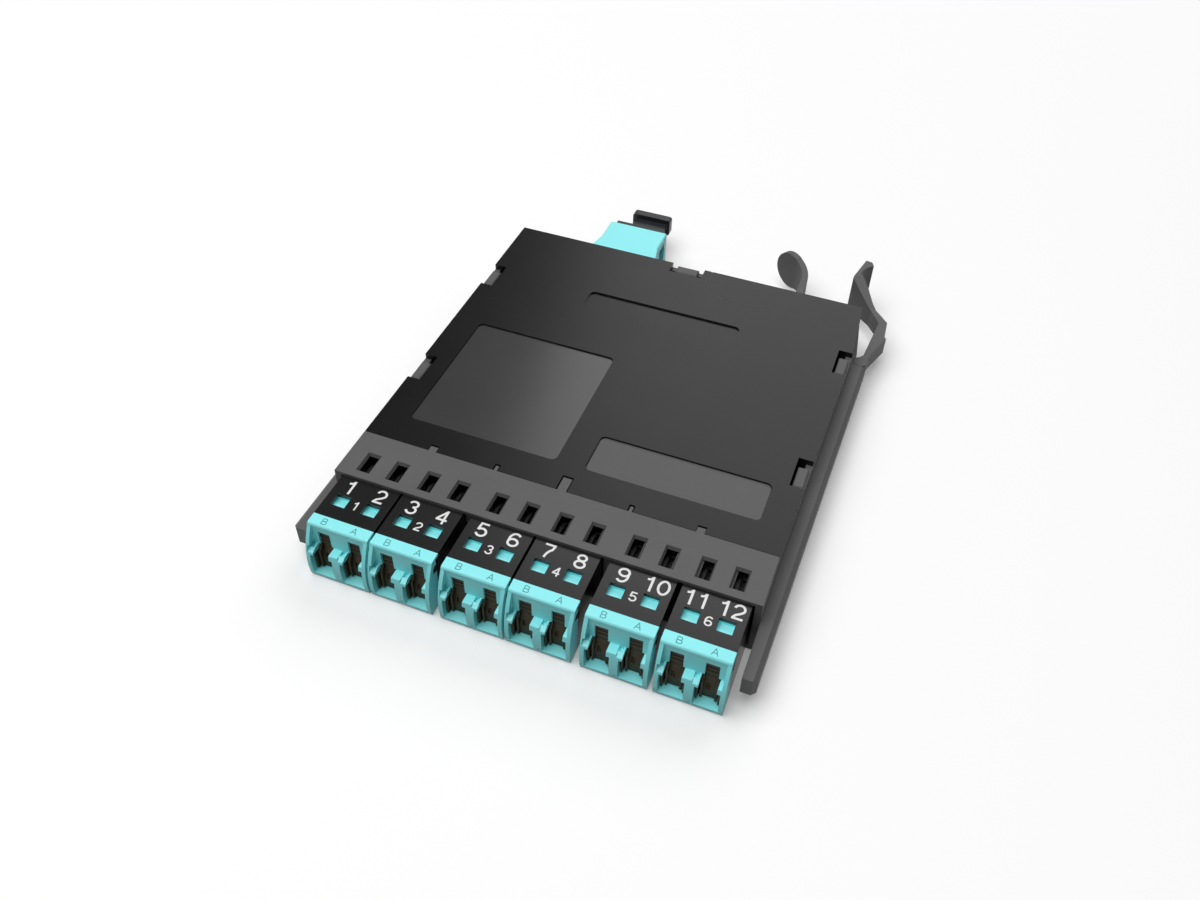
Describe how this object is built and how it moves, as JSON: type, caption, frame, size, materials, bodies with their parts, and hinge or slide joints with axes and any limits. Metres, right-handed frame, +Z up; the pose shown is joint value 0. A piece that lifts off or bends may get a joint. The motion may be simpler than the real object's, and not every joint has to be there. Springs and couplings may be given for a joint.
{
  "type": "fibre cassette",
  "caption": "Flat fibre cassette with shuttered duplex ports across the front, a multi-fibre adapter with dust cap behind and slide rails.",
  "frame": {"origin": "middle of the flat underside of the shell, between its front edge and its rear edge", "axes": "+Z up through the cover, +Y to the rear adapter, +X to the right seen from the ports, metres"},
  "size_m": [0.0938, 0.1272, 0.0133],
  "materials": {
    "case_grey": "fine satin moulding",
    "cover_dark": "fine matt moulding",
    "adapter_black": "satin",
    "aqua": "satin",
    "door_brown": "satin",
    "connector_grey": "satin",
    "fibre_jacket": "satin jacket",
    "ferrule_dark": "smooth",
    "cap_black": "satin",
    "ceramic": "polished ceramic",
    "pin_steel": "ground"
  },
  "bodies": {
    "cassette": {"base_shell": "case_grey", "top_cover": "cover_dark", "adapter_housing_1": "adapter_black", "shutter_body_1": "aqua", "alignment_sleeves_1": "ceramic", "ferrules_1": "ceramic", "adapter_housing_2": "adapter_black", "shutter_body_2": "aqua", "alignment_sleeves_2": "ceramic", "ferrules_2": "ceramic", "adapter_housing_3": "adapter_black", "shutter_body_3": "aqua", "alignment_sleeves_3": "ceramic", "ferrules_3": "ceramic", "adapter_housing_4": "adapter_black", "shutter_body_4": "aqua", "alignment_sleeves_4": "ceramic", "ferrules_4": "ceramic", "adapter_housing_5": "adapter_black", "shutter_body_5": "aqua", "alignment_sleeves_5": "ceramic", "ferrules_5": "ceramic", "adapter_housing_6": "adapter_black", "shutter_body_6": "aqua", "alignment_sleeves_6": "ceramic", "ferrules_6": "ceramic", "inner_connector_01": "connector_grey", "inner_connector_02": "connector_grey", "inner_connector_03": "connector_grey", "inner_connector_04": "connector_grey", "inner_connector_05": "connector_grey", "inner_connector_06": "connector_grey", "inner_connector_07": "connector_grey", "inner_connector_08": "connector_grey", "inner_connector_09": "connector_grey", "inner_connector_10": "connector_grey", "inner_connector_11": "connector_grey", "inner_connector_12": "connector_grey", "fanout_block": "adapter_black", "fibres": "fibre_jacket", "trunk": "fibre_jacket", "rear_adapter": "aqua", "rear_plug": "connector_grey", "rear_ferrule": "ferrule_dark", "guide_pins": "pin_steel"},
    "release_lever": {"release_lever": "case_grey"},
    "shutter_door_01": {"shutter_door_01": "door_brown"},
    "shutter_door_02": {"shutter_door_02": "door_brown"},
    "shutter_door_03": {"shutter_door_03": "door_brown"},
    "shutter_door_04": {"shutter_door_04": "door_brown"},
    "shutter_door_05": {"shutter_door_05": "door_brown"},
    "shutter_door_06": {"shutter_door_06": "door_brown"},
    "shutter_door_07": {"shutter_door_07": "door_brown"},
    "shutter_door_08": {"shutter_door_08": "door_brown"},
    "shutter_door_09": {"shutter_door_09": "door_brown"},
    "shutter_door_10": {"shutter_door_10": "door_brown"},
    "shutter_door_11": {"shutter_door_11": "door_brown"},
    "shutter_door_12": {"shutter_door_12": "door_brown"},
    "dust_cap": {"dust_cap": "cap_black"}
  },
  "joints": [
    {"name": "door_01_hinge", "type": "hinge", "parent": "cassette", "child": "shutter_door_01", "pos_m": [-0.03712, -0.0552, 0.00975], "axis": [1, 0, 0], "range_deg": [0, 78], "stiffness_Nm_per_rad": 0.0001, "springref_deg": -20.05},
    {"name": "door_02_hinge", "type": "hinge", "parent": "cassette", "child": "shutter_door_02", "pos_m": [-0.03087, -0.0552, 0.00975], "axis": [1, 0, 0], "range_deg": [0, 78], "stiffness_Nm_per_rad": 0.0001, "springref_deg": -20.05},
    {"name": "door_03_hinge", "type": "hinge", "parent": "cassette", "child": "shutter_door_03", "pos_m": [-0.02413, -0.0552, 0.00975], "axis": [1, 0, 0], "range_deg": [0, 78], "stiffness_Nm_per_rad": 0.0001, "springref_deg": -20.05},
    {"name": "door_04_hinge", "type": "hinge", "parent": "cassette", "child": "shutter_door_04", "pos_m": [-0.01787, -0.0552, 0.00975], "axis": [1, 0, 0], "range_deg": [0, 78], "stiffness_Nm_per_rad": 0.0001, "springref_deg": -20.05},
    {"name": "door_05_hinge", "type": "hinge", "parent": "cassette", "child": "shutter_door_05", "pos_m": [-0.00988, -0.0552, 0.00975], "axis": [1, 0, 0], "range_deg": [0, 78], "stiffness_Nm_per_rad": 0.0001, "springref_deg": -20.05},
    {"name": "door_06_hinge", "type": "hinge", "parent": "cassette", "child": "shutter_door_06", "pos_m": [-0.00363, -0.0552, 0.00975], "axis": [1, 0, 0], "range_deg": [0, 78], "stiffness_Nm_per_rad": 0.0001, "springref_deg": -20.05},
    {"name": "door_07_hinge", "type": "hinge", "parent": "cassette", "child": "shutter_door_07", "pos_m": [0.00313, -0.0552, 0.00975], "axis": [1, 0, 0], "range_deg": [0, 78], "stiffness_Nm_per_rad": 0.0001, "springref_deg": -20.05},
    {"name": "door_08_hinge", "type": "hinge", "parent": "cassette", "child": "shutter_door_08", "pos_m": [0.00937, -0.0552, 0.00975], "axis": [1, 0, 0], "range_deg": [0, 78], "stiffness_Nm_per_rad": 0.0001, "springref_deg": -20.05},
    {"name": "door_09_hinge", "type": "hinge", "parent": "cassette", "child": "shutter_door_09", "pos_m": [0.01738, -0.0552, 0.00975], "axis": [1, 0, 0], "range_deg": [0, 78], "stiffness_Nm_per_rad": 0.0001, "springref_deg": -20.05},
    {"name": "door_10_hinge", "type": "hinge", "parent": "cassette", "child": "shutter_door_10", "pos_m": [0.02363, -0.0552, 0.00975], "axis": [1, 0, 0], "range_deg": [0, 78], "stiffness_Nm_per_rad": 0.0001, "springref_deg": -20.05},
    {"name": "door_11_hinge", "type": "hinge", "parent": "cassette", "child": "shutter_door_11", "pos_m": [0.03087, -0.0552, 0.00975], "axis": [1, 0, 0], "range_deg": [0, 78], "stiffness_Nm_per_rad": 0.0001, "springref_deg": -20.05},
    {"name": "door_12_hinge", "type": "hinge", "parent": "cassette", "child": "shutter_door_12", "pos_m": [0.03712, -0.0552, 0.00975], "axis": [1, 0, 0], "range_deg": [0, 78], "stiffness_Nm_per_rad": 0.0001, "springref_deg": -20.05},
    {"name": "lever_flex", "type": "hinge", "parent": "cassette", "child": "release_lever", "pos_m": [0.04476, 0.0316, 0.006], "axis": [0, 0, 1], "range_deg": [0, 6], "stiffness_Nm_per_rad": 0.08},
    {"name": "cap_pull", "type": "slide", "parent": "cassette", "child": "dust_cap", "axis": [0, 1, 0], "range_m": [0, 0.02]}
  ]
}
